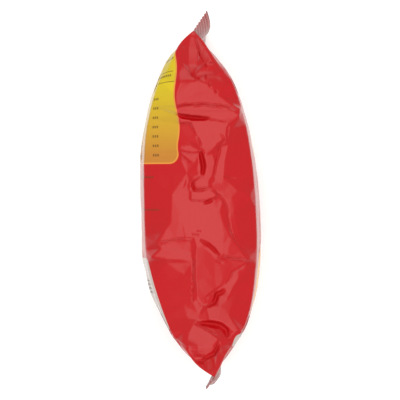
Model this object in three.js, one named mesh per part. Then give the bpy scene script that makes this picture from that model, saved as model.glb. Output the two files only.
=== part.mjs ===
// A pillow bag of crisps, heat sealed flat at both ends. It lies on one narrow side, with the other one up.
// Millimetres, +Z up. +Y runs along the bag to its top seal and +X points out of the front panel.
// The origin is on the surface that the bag lies on, under the middle of the bag.
import * as THREE from "three";
import { mergeVertices } from "three/addons/utils/BufferGeometryUtils.js";

// Driving dimensions of the filled bag
const FILLED_WIDTH = 128; // from the resting spot to the upper side, at mid-length
const RESTING_SINK = 4; // how far the weight presses the lower side flat
const SEAL_WIDTH = 157; // across the flat end seals, from ear to ear
const EAR_CLEARANCE = 3; // height of the lower ears above the resting surface
const SEAL_HEIGHT = 15; // from the filled body to the cut edge
const SEAL_THICKNESS = 1;

// How far the back and front panels reach from the bag's middle plane, at equal steps of the rows from bottom
// to top. The rows stand closer together towards the ends, as the points of a circle do seen from its side.
const BACK_REACH = [-9.2, 7.6, 24.4, 36.8, 39.4, 38, 29.2, 17.2, 4.4];
const FRONT_REACH = [10, 17.6, 32, 39.2, 39.2, 34, 23.6, 7.6, -3.6];

// The two ends. The filled body stops at the ears' height, and lower in the middle of the seal, which bulging
// draws in. The cut edge leans out of the middle plane, by other amounts at the upper ear and along the seal.
// The bottom ears are crumpled, so they keep only a share of the seal's height.
const TOP_END = { body: 107.2, drawnIn: 18.4, upperLean: 8.4, middleLean: 7.6, lowerLean: 8, earHeight: 1 };
const BOTTOM_END = { body: -112, drawnIn: 16, upperLean: -5.6, middleLean: 4, lowerLean: -3.2, earHeight: 0.55 };
const EAR_SHARPNESS = 2.2; // power of the curve from the drawn-in middle to the ears
const EAR_SPREAD = 3; // power of the widening from mid-length to the ears
const LEAN_START = 0.4; // height in the seal, as a share of its half width, where the ears' own lean begins
const CRUMPLE_START = 0.6; // and where the ears begin to lose height

// The rounded box shape of a cross-section: powers of a superellipse across the panels and across the sides.
// Towards the ears the sides are blunter, because the film stands out there as a flat gusset.
const PANEL_POWER = 2.3;
const SIDE_POWER = 6.5;
const GUSSET_POWER = 16;

// Pleats that run from the seals into the two panels
const PLEAT_COUNT = 5;
const PLEAT_DEPTH = 1.8;
const PLEAT_FADE = 21; // length in which a pleat loses most of its depth

// Folds of the slack film on the upper side. Each is a hipped roof with a straight crest, or a valley where
// its rise is negative, given by the crest's two ends in plan and the distance that its slopes reach.
const UPPER_FOLDS = [
  { name: "gusset crest under the top ear", from: [-4, 102.4], to: [-3.2, 78.4], rise: 2.4, reach: 7.2 },
  { name: "roof under the gusset", from: [-12.8, 67.2], to: [24, 64], rise: 3.2, reach: 10.4 },
  { name: "valley under the roof", from: [-16, 56], to: [8, 53.6], rise: -4.8, reach: 6.4 },
  { name: "left diamond", from: [-12, 44], to: [-1.6, 24], rise: -2.4, reach: 8 },
  { name: "right valley", from: [19.2, 46.4], to: [9.6, 20.8], rise: -3.2, reach: 8 },
  { name: "drop-shaped dent", from: [0.8, 30.4], to: [2.4, 16], rise: -4.8, reach: 4 },
  { name: "small nose", from: [-4, 11.2], to: [6.4, 9.6], rise: 3.2, reach: 6.4 },
  { name: "valley beside the bell", from: [12.8, 4], to: [30.4, -36.8], rise: -3.2, reach: 6.4 },
  { name: "bell-shaped crest", from: [-19.2, -24.8], to: [17.6, -26.4], rise: 4, reach: 20.8 },
  { name: "valley under the bell", from: [-1.6, -26.4], to: [12.8, -37.6], rise: -4.8, reach: 7.2 },
  { name: "left lap", from: [-30.4, -38.4], to: [-6.4, -38.4], rise: 2.4, reach: 7.2 },
  { name: "standing crease", from: [-4.8, -41.6], to: [-4.8, -67.2], rise: 1.6, reach: 6.4 },
  { name: "lower right valley", from: [17.6, -57.6], to: [4.8, -70.4], rise: -4, reach: 8 },
  { name: "lower lap", from: [3.2, -72], to: [22.4, -80], rise: 3.2, reach: 8.8 },
  { name: "valley under the lower lap", from: [0, -81.6], to: [16, -85.6], rise: -4, reach: 7.2 },
  { name: "heel facet", from: [-3.2, -91.2], to: [6.4, -93.6], rise: 2.4, reach: 10.4 },
  { name: "valley above the bottom ear", from: [-1.6, -101.6], to: [8, -96.8], rise: -2.4, reach: 6.4 },
];
const FOLD_START = 0.45; // height in the section, as a share of its half width, where the upper folds begin
const FOLD_FULL = 0.85; // and where they have their full depth

// Mesh steps
const COLUMNS = 80;
const BODY_ROWS = 52;
const SEAL_ROWS = 3;
const SECTION_STEPS = 800; // fine steps along a section, so that its columns are evenly spaced
const MERGE_DISTANCE = 1e-4;

const { lerp, smoothstep, clamp } = THREE.MathUtils;

// A curve through values that stand at equal steps.
function evenCurve(values) {
  const points = values.map((value, i) => new THREE.Vector2(i, value));
  return new THREE.SplineCurve(points);
}
const backReach = evenCurve(BACK_REACH);
const frontReach = evenCurve(FRONT_REACH);

// One cross-section as a closed curve: x across the thickness, y up the width from -1 to 1.
// It starts in the middle of the upper side and turns towards the front panel.
class BagSection extends THREE.Curve {
  constructor(middle, halfThickness, halfWidth, sidePower) {
    super();
    this.arcLengthDivisions = SECTION_STEPS;
    Object.assign(this, { middle, halfThickness, halfWidth, sidePower });
  }
  getPoint(t, target = new THREE.Vector2()) {
    const up = Math.cos(2 * Math.PI * t);
    const side = Math.sign(Math.sin(2 * Math.PI * t));
    const across = side * (1 - Math.abs(up) ** this.sidePower) ** (1 / PANEL_POWER);
    return target.set(this.middle + this.halfThickness * across, this.halfWidth * up);
  }
}

// Height of one hipped roof over a point in plan.
function roofHeight({ from, to, rise, reach }, x, y) {
  const [ax, ay] = from;
  const [bx, by] = to;
  const lengthSquared = (bx - ax) ** 2 + (by - ay) ** 2;
  const share = clamp(((x - ax) * (bx - ax) + (y - ay) * (by - ay)) / lengthSquared, 0, 1);
  const distance = Math.hypot(x - lerp(ax, bx, share), y - lerp(ay, by, share));
  return rise * Math.max(0, 1 - distance / reach);
}

function foldHeight(x, y) {
  return UPPER_FOLDS.reduce((sum, fold) => sum + roofHeight(fold, x, y), 0);
}

// Half width and mid-height of the section at a place along the body, -1 at the bottom end and 1 at the top.
function sectionWidth(along) {
  const spread = Math.abs(along) ** EAR_SPREAD;
  const upper = lerp(FILLED_WIDTH, EAR_CLEARANCE + SEAL_WIDTH, spread);
  const lower = lerp(-RESTING_SINK, EAR_CLEARANCE, spread);
  return { halfWidth: (upper - lower) / 2, midHeight: (upper + lower) / 2 };
}

// Distance along the bag of a point of the body, which curves out to the ears near the ends.
function bodyLength(along, up) {
  const end = along > 0 ? TOP_END : BOTTOM_END;
  const drawn = end.drawnIn * Math.abs(along) ** EAR_SPREAD;
  const reach = Math.abs(along) * Math.abs(end.body) - drawn * (1 - Math.abs(up) ** EAR_SHARPNESS);
  return Math.sign(along) * reach;
}

// A ring of points around the filled body, at a share of the rows from 0 at the bottom end to 1 at the top.
function bodyRing(share) {
  const along = -Math.cos(Math.PI * share);
  const { halfWidth, midHeight } = sectionWidth(along);
  const back = backReach.getPoint(share).y;
  const front = frontReach.getPoint(share).y;
  const halfThickness = Math.max((front + back) / 2, SEAL_THICKNESS / 2);
  const sidePower = lerp(SIDE_POWER, GUSSET_POWER, along ** 2);
  const section = new BagSection((front - back) / 2, halfThickness, halfWidth, sidePower);
  return section.getSpacedPoints(COLUMNS).map(({ x, y: height }) => {
    const up = height / halfWidth;
    const y = bodyLength(along, up);
    const end = along > 0 ? TOP_END : BOTTOM_END;
    const toSeal = Math.abs(end.body) * (1 - Math.abs(along));
    const panel = (x - section.middle) / halfThickness;
    const pleat = Math.cos(2 * Math.PI * PLEAT_COUNT * up) * Math.exp(-toSeal / PLEAT_FADE);
    const pleatShare = smoothstep(toSeal, 0, PLEAT_FADE / 2);
    const folds = foldHeight(x, y) * smoothstep(up, FOLD_START, FOLD_FULL);
    return new THREE.Vector3(
      x + panel * PLEAT_DEPTH * pleat * pleatShare,
      y,
      Math.max(midHeight + height + folds, 0),
    );
  });
}

// How far the cut edge leans towards the front at a height in the seal, -1 at the lower ear, 1 at the upper.
function sealLean({ upperLean, middleLean, lowerLean }, up) {
  const ear = up > 0 ? upperLean : lowerLean;
  return lerp(middleLean, ear, smoothstep(Math.abs(up), LEAN_START, 1));
}

// A ring of points around an end seal, from 0 at the body to 1 at the cut edge.
function sealRing(end, share) {
  const side = Math.sign(end.body);
  const { halfWidth, midHeight } = sectionWidth(side);
  const middle = (frontReach.getPoint((side + 1) / 2).y - backReach.getPoint((side + 1) / 2).y) / 2;
  const section = new BagSection(middle, SEAL_THICKNESS / 2, halfWidth, GUSSET_POWER);
  return section.getSpacedPoints(COLUMNS).map(({ x, y: height }) => {
    const up = height / halfWidth;
    const curl = lerp(1, end.earHeight, smoothstep(Math.abs(up), CRUMPLE_START, 1));
    const lean = sealLean(end, up);
    const rise = Math.sqrt(SEAL_HEIGHT ** 2 - lean ** 2) * curl;
    return new THREE.Vector3(
      x + lean * share,
      bodyLength(side, up) + side * rise * share,
      midHeight + height,
    );
  });
}

// A ring pressed flat: each point moves to the middle between itself and the one across the thickness.
function pressedRing(ring) {
  return ring.map((point, i) => {
    const across = ring[COLUMNS - i];
    return i < COLUMNS / 2 ? point.clone().lerp(across, 0.5) : across.clone().lerp(point, 0.5);
  });
}

// All rings from the top cut edge to the bottom one. The first and last have no thickness, to shut the bag.
function bagRings() {
  const rings = [];
  for (let i = 0; i < SEAL_ROWS; i++) {
    rings.push(sealRing(TOP_END, 1 - i / SEAL_ROWS));
  }
  for (let i = 0; i <= BODY_ROWS; i++) {
    rings.push(bodyRing(1 - i / BODY_ROWS));
  }
  for (let i = 1; i <= SEAL_ROWS; i++) {
    rings.push(sealRing(BOTTOM_END, i / SEAL_ROWS));
  }
  return [pressedRing(rings.at(0)), ...rings, pressedRing(rings.at(-1))];
}

// The film as a tube whose rows are the rings, merged at its seam and along its cut edges.
function bagGeometry() {
  const rings = bagRings();
  const tube = new THREE.CylinderGeometry(1, 1, 1, COLUMNS, rings.length - 1, true);
  const position = tube.getAttribute("position");
  for (const ring of rings) {
    ring[COLUMNS].copy(ring[0]);
  }
  rings.flat().forEach((point, i) => position.setXYZ(i, point.x, point.y, point.z));
  tube.deleteAttribute("normal");
  tube.deleteAttribute("uv");
  const closed = mergeVertices(tube, MERGE_DISTANCE);
  closed.computeVertexNormals();
  return closed;
}

const film = new THREE.MeshStandardMaterial({ color: 0xc5282c, roughness: 0.3, metalness: 0 });
const bag = new THREE.Mesh(bagGeometry(), film);
bag.name = "bag";

const part = new THREE.Group();
part.add(bag);

export default part;
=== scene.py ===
"""A shut pillow bag of crisps in glossy printed film, lying on one narrow side with the other one up.

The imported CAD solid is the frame. Here the film takes its place: a flat web that is wrapped into a tube,
pressed shut at both ends and creased where the slack film of the upper narrow side folds. Lengths are in
metres, +Z up, +Y along the bag towards its top seal and +X out of its front panel. The origin is under the
middle of the bag. Creases, tucks and print are in millimetres.
"""

from __future__ import annotations

import logging
import math
from dataclasses import dataclass
from enum import Enum
from functools import reduce

import bmesh
import bpy
import numpy as np
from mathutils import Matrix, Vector
from mathutils.geometry import delaunay_2d_cdt

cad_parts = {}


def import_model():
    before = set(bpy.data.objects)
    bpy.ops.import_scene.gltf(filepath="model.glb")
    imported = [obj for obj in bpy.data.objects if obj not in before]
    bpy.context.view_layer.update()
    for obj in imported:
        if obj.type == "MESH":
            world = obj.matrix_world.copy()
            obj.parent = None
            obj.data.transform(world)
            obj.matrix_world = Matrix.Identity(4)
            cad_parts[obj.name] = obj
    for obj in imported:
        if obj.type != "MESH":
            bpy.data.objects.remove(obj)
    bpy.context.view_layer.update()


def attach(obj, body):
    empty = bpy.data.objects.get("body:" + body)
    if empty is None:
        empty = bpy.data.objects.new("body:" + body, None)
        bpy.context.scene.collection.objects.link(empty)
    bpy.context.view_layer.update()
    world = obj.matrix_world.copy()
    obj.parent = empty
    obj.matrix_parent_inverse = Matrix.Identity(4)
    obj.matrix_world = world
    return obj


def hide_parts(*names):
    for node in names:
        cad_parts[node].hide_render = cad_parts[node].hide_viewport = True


MM = 0.001
MERGE_DISTANCE = 0.002 * MM
NET_MERGE = 1e-4
NET_SLACK = 1e-9
SHORTEST = 1e-12
TUCK_END_WIDTH = 0.4
TUCK_MIDDLE_WIDTH = 0.85
LOG = logging.getLogger("bag_of_crisps")


# Small maths

def smooth_step(value: np.ndarray | float, low: float, high: float) -> np.ndarray | float:
    """Eases from 0 at low to 1 at high.

    Args:
        value: The values to ease.
        low: Where the step starts.
        high: Where the step ends.

    Returns:
        The eased values, as the input's kind.
    """
    share = np.clip((value - low) / (high - low), 0, 1)
    return share * share * (3 - 2 * share)


def mix(low: np.ndarray | float, high: np.ndarray | float, share: np.ndarray | float) -> np.ndarray | float:
    """Goes from low to high as share goes from 0 to 1."""
    return low + (high - low) * share


def even_curve(values: tuple[float, ...], share: float) -> float:
    """Reads a smooth curve through values that stand at equal steps.

    Args:
        values: The curve's values, which it passes through.
        share: Where to read it, from 0 at the first value to 1 at the last.

    Returns:
        The value there, on a Catmull-Rom curve.
    """
    last = len(values) - 1
    place = min(max(share, 0), 1) * last
    start = min(int(place), last - 1)
    t = place - start
    before, low, high, after = (values[min(max(start + k, 0), last)] for k in (-1, 0, 1, 2))
    leave = (high - before) / 2
    arrive = (after - low) / 2
    cubic = 2 * (low - high) + leave + arrive
    square = 3 * (high - low) - 2 * leave - arrive
    return ((cubic * t + square) * t + leave) * t + low


# Shape of the filled bag

class End(Enum):
    """The two ends of the bag, by their side of its middle."""

    BOTTOM = -1
    TOP = 1


@dataclass(frozen=True)
class EndSizes:
    """Sizes of one end: where the body stops, and how its flat seal stands.

    Attributes:
        body: Distance from the bag's middle to the body's end at the ears.
        drawn_in: How far bulging draws the middle of the seal in.
        upper_lean: Lean of the cut edge towards the front at the upper ear.
        middle_lean: The same half way along the seal.
        lower_lean: The same at the lower ear.
        ear_height: Share of the seal's height that the crumpled ears keep.
        belly: How far the cut edge bulges towards the front just under the upper ear.
    """

    body: float
    drawn_in: float
    upper_lean: float
    middle_lean: float
    lower_lean: float
    ear_height: float
    belly: float


@dataclass(frozen=True)
class Section:
    """Points around one section.

    Attributes:
        x: Their places across the bag's thickness.
        up: Their heights as shares of the half width.
        across: Their distances from the middle as shares of the half thickness.
        perimeter: The way around the section.
    """

    x: np.ndarray
    up: np.ndarray
    across: np.ndarray
    perimeter: float


@dataclass(frozen=True)
class BagShape:
    """The smooth form of the filled bag, with the driving dimensions of the CAD solid."""

    filled_width: float = 128 * MM
    resting_sink: float = 4 * MM
    seal_width: float = 157 * MM
    ear_clearance: float = 3 * MM
    seal_height: float = 15 * MM
    seal_thickness: float = 0.6 * MM
    back_reach: tuple[float, ...] = (-9.2, 7.6, 24.4, 36.8, 39.4, 38, 29.2, 17.2, 4.4)
    front_reach: tuple[float, ...] = (10, 17.6, 32, 39.2, 39.2, 34, 23.6, 7.6, -3.6)
    top: EndSizes = EndSizes(107.2 * MM, 18.4 * MM, 8.4 * MM, 7.6 * MM, 8 * MM, 1, 2.4 * MM)
    bottom: EndSizes = EndSizes(112 * MM, 16 * MM, -5.6 * MM, 4 * MM, -3.2 * MM, 0.55, 0)
    ear_sharpness: float = 2.2
    ear_spread: float = 3
    lean_start: float = 0.4
    belly_height: float = 0.8
    belly_reach: float = 0.2
    crumple_start: float = 0.66
    panel_power: float = 2.3
    side_power: float = 6.5
    gusset_power: float = 16
    section_steps: int = 800

    def end(self, end: End) -> EndSizes:
        """Gives the sizes of one end."""
        return self.top if end is End.TOP else self.bottom

    def reach(self, along: float) -> tuple[float, float]:
        """Says how far the two panels reach from the middle plane.

        Args:
            along: Place along the body, from -1 at its bottom end to 1 at its top end.

        Returns:
            The back panel's and the front panel's reach.
        """
        share = math.acos(-along) / math.pi
        return even_curve(self.back_reach, share) * MM, even_curve(self.front_reach, share) * MM

    def heights(self, along: float) -> tuple[float, float]:
        """Gives the half width and the mid-height of a section.

        Args:
            along: Place along the body, from -1 to 1.

        Returns:
            The section's half width and the height of its middle.
        """
        spread = abs(along) ** self.ear_spread
        upper = mix(self.filled_width, self.ear_clearance + self.seal_width, spread)
        lower = mix(-self.resting_sink, self.ear_clearance, spread)
        return (upper - lower) / 2, (upper + lower) / 2

    def length(self, along: float, up: np.ndarray) -> np.ndarray:
        """Gives the distance along the bag of points of one section, which curve out to the ears.

        Args:
            along: The section's place along the body, from -1 to 1.
            up: The points' heights as shares of the section's half width.

        Returns:
            Their distances from the bag's middle, positive towards the top.
        """
        sizes = self.top if along > 0 else self.bottom
        drawn = sizes.drawn_in * abs(along) ** self.ear_spread
        inward = drawn * (1 - np.abs(up) ** self.ear_sharpness)
        return math.copysign(1, along) * (abs(along) * sizes.body - inward)

    def crest(self, y: np.ndarray) -> np.ndarray:
        """Gives the height of the smooth upper side's middle at distances along the bag."""
        body = np.where(y > 0, self.top.body, self.bottom.body)
        spread = np.minimum(np.abs(y) / body, 1) ** self.ear_spread
        return mix(self.filled_width, self.ear_clearance + self.seal_width, spread)

    def thickness(self, along: float, thin: bool) -> tuple[float, float, float]:
        """Gives the sizes of one section across the bag's thickness.

        Args:
            along: The section's place along the body, from -1 to 1.
            thin: True for the flat section of an end seal.

        Returns:
            The middle's x, the half thickness and the power of the section's narrow sides.
        """
        back, front = self.reach(along)
        seal = self.seal_thickness / 2
        half_thickness = seal if thin else max((front + back) / 2, seal)
        side_power = self.gusset_power if thin else mix(self.side_power, self.gusset_power, along ** 2)
        return (front - back) / 2, half_thickness, side_power

    def section(self, along: float, turns: np.ndarray, thin: bool) -> "Section":
        """Spaces points around one section.

        Args:
            along: The section's place along the body, from -1 to 1.
            turns: Shares of the perimeter from the upper side's middle, positive towards the front.
            thin: True for the flat section of an end seal.

        Returns:
            The section's points.
        """
        middle, half_thickness, side_power = self.thickness(along, thin)
        half_width, _ = self.heights(along)
        angle = np.linspace(0, 2 * math.pi, self.section_steps + 1)
        up, across = self._outline(angle, side_power)
        steps = np.hypot(np.diff(across * half_thickness), np.diff(up * half_width))
        arc = np.concatenate(([0], np.cumsum(steps)))
        placed = np.interp(np.mod(turns, 1) * arc[-1], arc, angle)
        up, across = self._outline(placed, side_power)
        return Section(middle + half_thickness * across, up, across, float(arc[-1]))

    def _outline(self, angle: np.ndarray, side_power: float) -> tuple[np.ndarray, np.ndarray]:
        """Gives the height and the reach across of a rounded box at some angles from its top, up to 1."""
        up = np.cos(angle)
        room = np.clip(1 - np.abs(up) ** side_power, 0, 1)
        return up, np.sign(np.sin(angle)) * room ** (1 / self.panel_power)

    def lean(self, end: End, up: np.ndarray) -> np.ndarray:
        """Says how far the cut edge of a seal leans towards the front, at heights from -1 to 1."""
        sizes = self.end(end)
        ear = np.where(up > 0, sizes.upper_lean, sizes.lower_lean)
        belly = sizes.belly * np.clip(1 - ((up - self.belly_height) / self.belly_reach) ** 2, 0, 1)
        return mix(sizes.middle_lean, ear, smooth_step(np.abs(up), self.lean_start, 1)) + belly


# Creases

@dataclass(frozen=True)
class Fold:
    """A crease of the slack film: a broken line of points in plan, each at its own level.

    Attributes:
        name: What the crease is.
        points: Places as x, y and level, in millimetres. The level is a depth below the smooth crest in the
            middle of the bag and a height over the smooth film at its ends.
    """

    name: str
    points: tuple[tuple[float, float, float], ...]


@dataclass(frozen=True)
class Slit:
    """A narrow tuck where the film folds under itself, seen as a dark line: a valley in the film, with
    painted shade darkening its colour.

    Attributes:
        name: What the tuck is.
        points: Places of its bottom in plan, in millimetres.
        depth: Depth in the middle, in millimetres.
        half_width: Reach of its slopes to each side, in millimetres.
    """

    name: str
    points: tuple[tuple[float, float], ...]
    depth: float
    half_width: float


@dataclass(frozen=True)
class Facet:
    """A flat field of taut film between creases.

    Attributes:
        name: What the field is.
        at: A place on it in plan, in millimetres.
        depth: Its depth there below the smooth crest, in millimetres.
        lean: Its slopes, as rise towards +X and +Y.
        corners: Its outline in plan, in millimetres.
    """

    name: str
    at: tuple[float, float]
    depth: float
    lean: tuple[float, float]
    corners: tuple[tuple[float, float], ...]


UPPER_FACETS = (
    Facet(
        "roof", (2, 66), 1.2, (-0.07, 0.2),
        ((-15.4, 67.2), (-7, 74.2), (-1.6, 76.6), (5.8, 73), (12.2, 67.2), (19.8, 62), (25.6, 58.2),
         (18.6, 60.2), (2, 62.4), (-15.4, 60.8)),
    ),
    Facet(
        "strip under the roof", (2, 58), 2, (-0.06, 0.1),
        ((-15.4, 58.8), (2, 60.6), (18.6, 58.4), (22, 57), (6.4, 56.8), (-15.4, 57)),
    ),
    Facet(
        "step under the strip", (10, 54), 1.7, (-0.08, 0.06),
        ((-15, 56.4), (7, 56.2), (22, 56.2), (25, 53.6), (10.2, 51.8), (7.4, 53), (-6, 54.8)),
    ),
    Facet(
        "pale corner left of the V", (-10, 51), 2.2, (0.06, 0.05),
        ((-14, 52), (-6.8, 51.6), (-7, 50), (-13.6, 50)),
    ),
    Facet(
        "V", (6, 45), 1.5, (-0.03, 0.1),
        ((-6.2, 50.4), (2.6, 50.6), (10.2, 51), (19, 49.4), (17.2, 40), (12.4, 37), (8, 32.4),
         (2.6, 32.8), (0.4, 34.2), (-2.2, 42.2)),
    ),
    Facet(
        "left diamond", (-8, 43), 2.8, (0.22, 0),
        ((-13.6, 49.2), (-6.8, 49.2), (-3.2, 42), (-1, 36.6), (-6.4, 36.8), (-13.2, 37.4)),
    ),
    Facet(
        "upper left lap", (-7, 33), 2.6, (0.08, 0.05),
        ((-12.8, 34.4), (-6.4, 35.8), (-1.4, 32.6), (-2.6, 30.8), (-7.6, 31.2), (-12.8, 32.2)),
    ),
    Facet(
        "lower left lap", (-6, 27.5), 2.5, (0.06, 0.1),
        ((-12, 29.8), (-6.4, 29), (-2.4, 28.6), (-2, 26.4), (-6.6, 25.8), (-9, 26.4)),
    ),
    Facet(
        "lip right of the drop", (7, 23), 2, (-0.11, 0.02),
        ((4, 29), (8, 30.4), (10, 24), (8.4, 17), (4.2, 16), (5, 22)),
    ),
    Facet(
        "nose", (1, 11), 0.8, (0, -0.06),
        ((-3.2, 12.4), (1.2, 13.6), (5.2, 12.2), (5.6, 8.8), (1.2, 8.4), (-2.8, 8.6)),
    ),
    Facet(
        "band right of the nose", (13, 8.5), 2.6, (-0.14, 0.05),
        ((7.2, 10.2), (14, 10.8), (22, 9), (22.4, 7), (14, 6.2), (7.6, 7.8)),
    ),
    Facet(
        "field under the nose", (2, 3), 1, (-0.02, -0.05),
        ((-5.4, 4.8), (1.2, 4.8), (6, 5.4), (10.8, 2.8), (8.4, 1.2), (1.2, 0.2), (-5.8, 0.6)),
    ),
    Facet(
        "knuckle at the front", (29, 2), 6, (-0.2, 0.2),
        ((24.6, 6.4), (32, 3.4), (33.4, -1), (30.6, -2.4), (27, 2)),
    ),
    Facet(
        "left streak", (-10, 3), 2.1, (0.07, 0),
        ((-18.4, 3), (-12.4, 5.4), (-7.2, 6), (-7, 0.8), (-12.6, 1.4)),
    ),
    Facet(
        "bell, middle", (0, -14), 1.2, (-0.01, -0.05),
        ((-4.6, -2.8), (2, -3.6), (8, -3), (11.6, -6.4), (14, -22), (13.6, -34.4), (10, -30.6),
         (5.4, -26.8), (0, -24), (-3.8, -23.6), (-9.6, -23.8), (-12, -13)),
    ),
    Facet(
        "bell, left wing", (-14, -18), 1.05, (0.13, -0.05),
        ((-12.6, -8.6), (-12.8, -13), (-10.2, -23.8), (-19.2, -25), (-27.6, -26.8), (-23.6, -20.6),
         (-19.2, -14.2)),
    ),
    Facet(
        "bell, right wing", (18, -28), 1.6, (-0.16, -0.05),
        ((12.4, -7), (14.8, -22), (14.4, -34.8), (20.4, -36.6), (30.8, -37.8), (24.8, -30),
         (18.8, -21.6), (15, -14)),
    ),
    Facet(
        "strip under the bell", (-12, -30), 2.7, (0.13, -0.03),
        ((-24.6, -28.8), (-16, -27.2), (-6, -26.6), (-5.8, -34.4), (-16, -31.6), (-24, -29.8)),
    ),
    Facet(
        "left lens", (-16, -36), 2.6, (0.1, -0.1),
        ((-31, -36.8), (-25, -30.8), (-16, -33), (-5.6, -36), (-10.2, -38.4), (-22.4, -38.4)),
    ),
    Facet(
        "tongue", (6, -46), 2, (-0.19, -0.12),
        ((-2.8, -37.8), (-2, -30), (4, -31.4), (8.6, -35.4), (11.6, -39.4), (20.4, -39.2),
         (29.6, -40.4), (24, -43.6), (19.6, -48), (17.6, -52.6), (12.2, -56), (5.2, -61.4),
         (-1.6, -62.8), (-2.6, -51.2)),
    ),
    Facet(
        "lower lap", (13, -75), 2.3, (-0.1, -0.46),
        ((4.6, -70), (8.4, -68.2), (12.8, -68), (18.6, -73.6), (25.4, -83.8), (23, -84.2),
         (17.6, -81.4), (12.2, -78), (5.8, -76.4)),
    ),
    Facet(
        "lap beside the standing crease", (2, -75), 2.6, (0.2, -0.35),
        ((-0.8, -73.4), (4, -70.8), (5.2, -77), (-0.6, -77)),
    ),
    Facet(
        "heel", (0, -88), 2.2, (0.03, -0.5),
        ((-4.4, -79.8), (0, -81.6), (6.4, -85.2), (11.4, -88.8), (8, -92.6), (2, -93.8), (-8.4, -93),
         (-7, -85)),
    ),
)

UPPER_FOLDS = (
    Fold("gusset crest, left edge", ((-7.4, 88.4, 0.3), (-5.8, 80.6, 1.4))),
    Fold("gusset crest, right edge", ((-1.9, 88.4, 0.4), (-4.4, 81.4, 1.4))),
    Fold("valley beside the gusset", ((3.8, 87, 2.6), (3.8, 79.4, 2.8))),
    Fold(
        "right flank of the gusset",
        ((7, 89.6, 2.8), (9.6, 80, 4), (14, 72.4, 4.6), (20.4, 65.6, 5.2)),
    ),
    Fold("crease left of the gusset", ((-11.6, 87.6, 2.4), (-8.4, 83.8, 2.4), (-5.2, 78.8, 3))),
    Fold("shoulder over the roof", ((-13.4, 82, 2.2), (-12.2, 75.6, 1.8))),
    Fold("wedge", ((-15.6, 55.2, 3.4), (-6.4, 53, 4), (2.6, 52.4, 3.8))),
    Fold(
        "joint under the V",
        ((12.2, 33.2, 3.6), (11.6, 30, 3.6), (10.8, 26.2, 3.4), (9.4, 18, 3), (9.4, 13, 2.6)),
    ),
    Fold("shoulder right of the V", ((21, 46, 3.8), (18.4, 36, 3.4), (16, 26, 3.2), (15.4, 14.6, 3))),
    Fold("line between the left laps", ((-12.8, 31, 3.9), (-7.6, 30.2, 3.3), (-2.6, 29.6, 3.1))),
    Fold("hollow under the left laps", ((-12.8, 27.2, 4), (-9, 24.6, 3.8), (-3.8, 23.6, 2.8))),
    Fold("lip left of the drop", ((-1.2, 25.6, 1.9), (-1.8, 20.4, 1.6), (-0.8, 16.2, 1.5))),
    Fold("left of the nose", ((-8.4, 17.2, 3.4), (-7, 12.8, 3.2), (-8.6, 9, 3.2))),
    Fold("valley round the nose", ((-5.4, 10.2, 2.3), (-3.8, 6.8, 2), (0.6, 6.4, 1.9), (5.6, 7.2, 2))),
    Fold(
        "valley right of the nose",
        ((12.4, 3.6, 3), (14.8, 0, 3.2), (17.6, -6.4, 3.4), (18.8, -14, 3.5), (20.8, -20.8, 3.8)),
    ),
    Fold("lens", ((-5.2, -1, 1.9), (-0.6, -1.6, 2.1), (4.4, -1.4, 2.5), (10.2, 1, 2.5))),
    Fold(
        "shoulder right of the bell",
        ((20.4, 2, 4), (22.4, -7.6, 4.2), (24.4, -16.6, 4.6), (27, -26.6, 5.2)),
    ),
    Fold("under the left lens", ((-30, -39.6, 6.8), (-21.8, -40.4, 4.6), (-10.2, -40.6, 3.1))),
    Fold("standing crease", ((-4.8, -40, 2.2), (-4.8, -51.2, 2.6), (-4.4, -65, 3.2))),
    Fold(
        "valley under the tongue",
        ((16.6, -55.6, 4.4), (14.8, -59.6, 5.2), (10.8, -61.4, 5.2), (8.6, -65.2, 4.6), (2, -68.2, 3.6)),
    ),
    Fold(
        "left flank",
        ((-10.2, -48.6, 4), (-11.6, -57.6, 4.6), (-10.2, -67.2, 4.6), (-8.4, -75.6, 4.2)),
    ),
    Fold(
        "fold right of the tongue",
        ((30, -47, 6.4), (25, -50.8, 4.8), (20.4, -58.2, 4.6), (16.4, -64.6, 4.2)),
    ),
    Fold("under that fold", ((27.6, -53.2, 7), (23, -60.2, 6.2))),
    Fold(
        "tuck under the lower lap",
        ((-0.6, -79, 3.8), (5.2, -80, 4.6), (10.8, -81.4, 5), (15.4, -84, 5), (17.6, -89, 4.8)),
    ),
    Fold("beside the heel", ((-10.6, -84, 3.6), (-11.4, -91, 3.6))),
    Fold("valley under the heel", ((11.8, -92, 3.4), (14.4, -88, 4.4))),
)

END_FOLDS = (
    Fold("gusset crest, left edge", ((-6.2, 104, 0.3), (-7.4, 97, 1.4), (-7.4, 86, 2), (-6, 79, 1))),
    Fold("gusset crest, right edge", ((-3.4, 104, 0.3), (-1.2, 96, 1.4), (-1.8, 86, 2), (-4, 79, 1))),
    Fold("valley beside the gusset", ((-2.4, 102, -0.4), (0.6, 94, -1.2), (3.8, 87, -1.4))),
    Fold("right flank of the gusset", ((4.4, 95, 0.3), (7.4, 89, 0.5))),
    Fold("left flank of the gusset", ((-11, 96, 0), (-13, 88, -0.2))),
    Fold("heel, upper edge", ((-7, -88, 0.4), (-1.2, -88, -1.9), (4, -88.4, -2.2), (10, -89.6, -2))),
    Fold(
        "heel, lower edge",
        ((-7.6, -94, 0.6), (-1.2, -95.6, -2.2), (3.2, -97.2, -2.6), (7.6, -93.8, -2.4)),
    ),
    Fold("under the heel", ((-7.4, -96.4, -0.2), (-1.2, -97.6, -2.9), (3.2, -98.8, -3.1))),
    Fold("heel, second lap", ((-4.8, -99.6, -1), (1.2, -100.2, -2))),
    Fold(
        "valley under the heel",
        ((-2.6, -102, -1.6), (2, -103, -2.4), (4.6, -100.4, -3.2), (9, -98.4, -3), (11.6, -92.8, -2.8)),
    ),
    Fold("ridge down to the bottom ear", ((11, -99, -0.3), (10, -106.2, 0.4), (10.6, -111, 0.2))),
)

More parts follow.
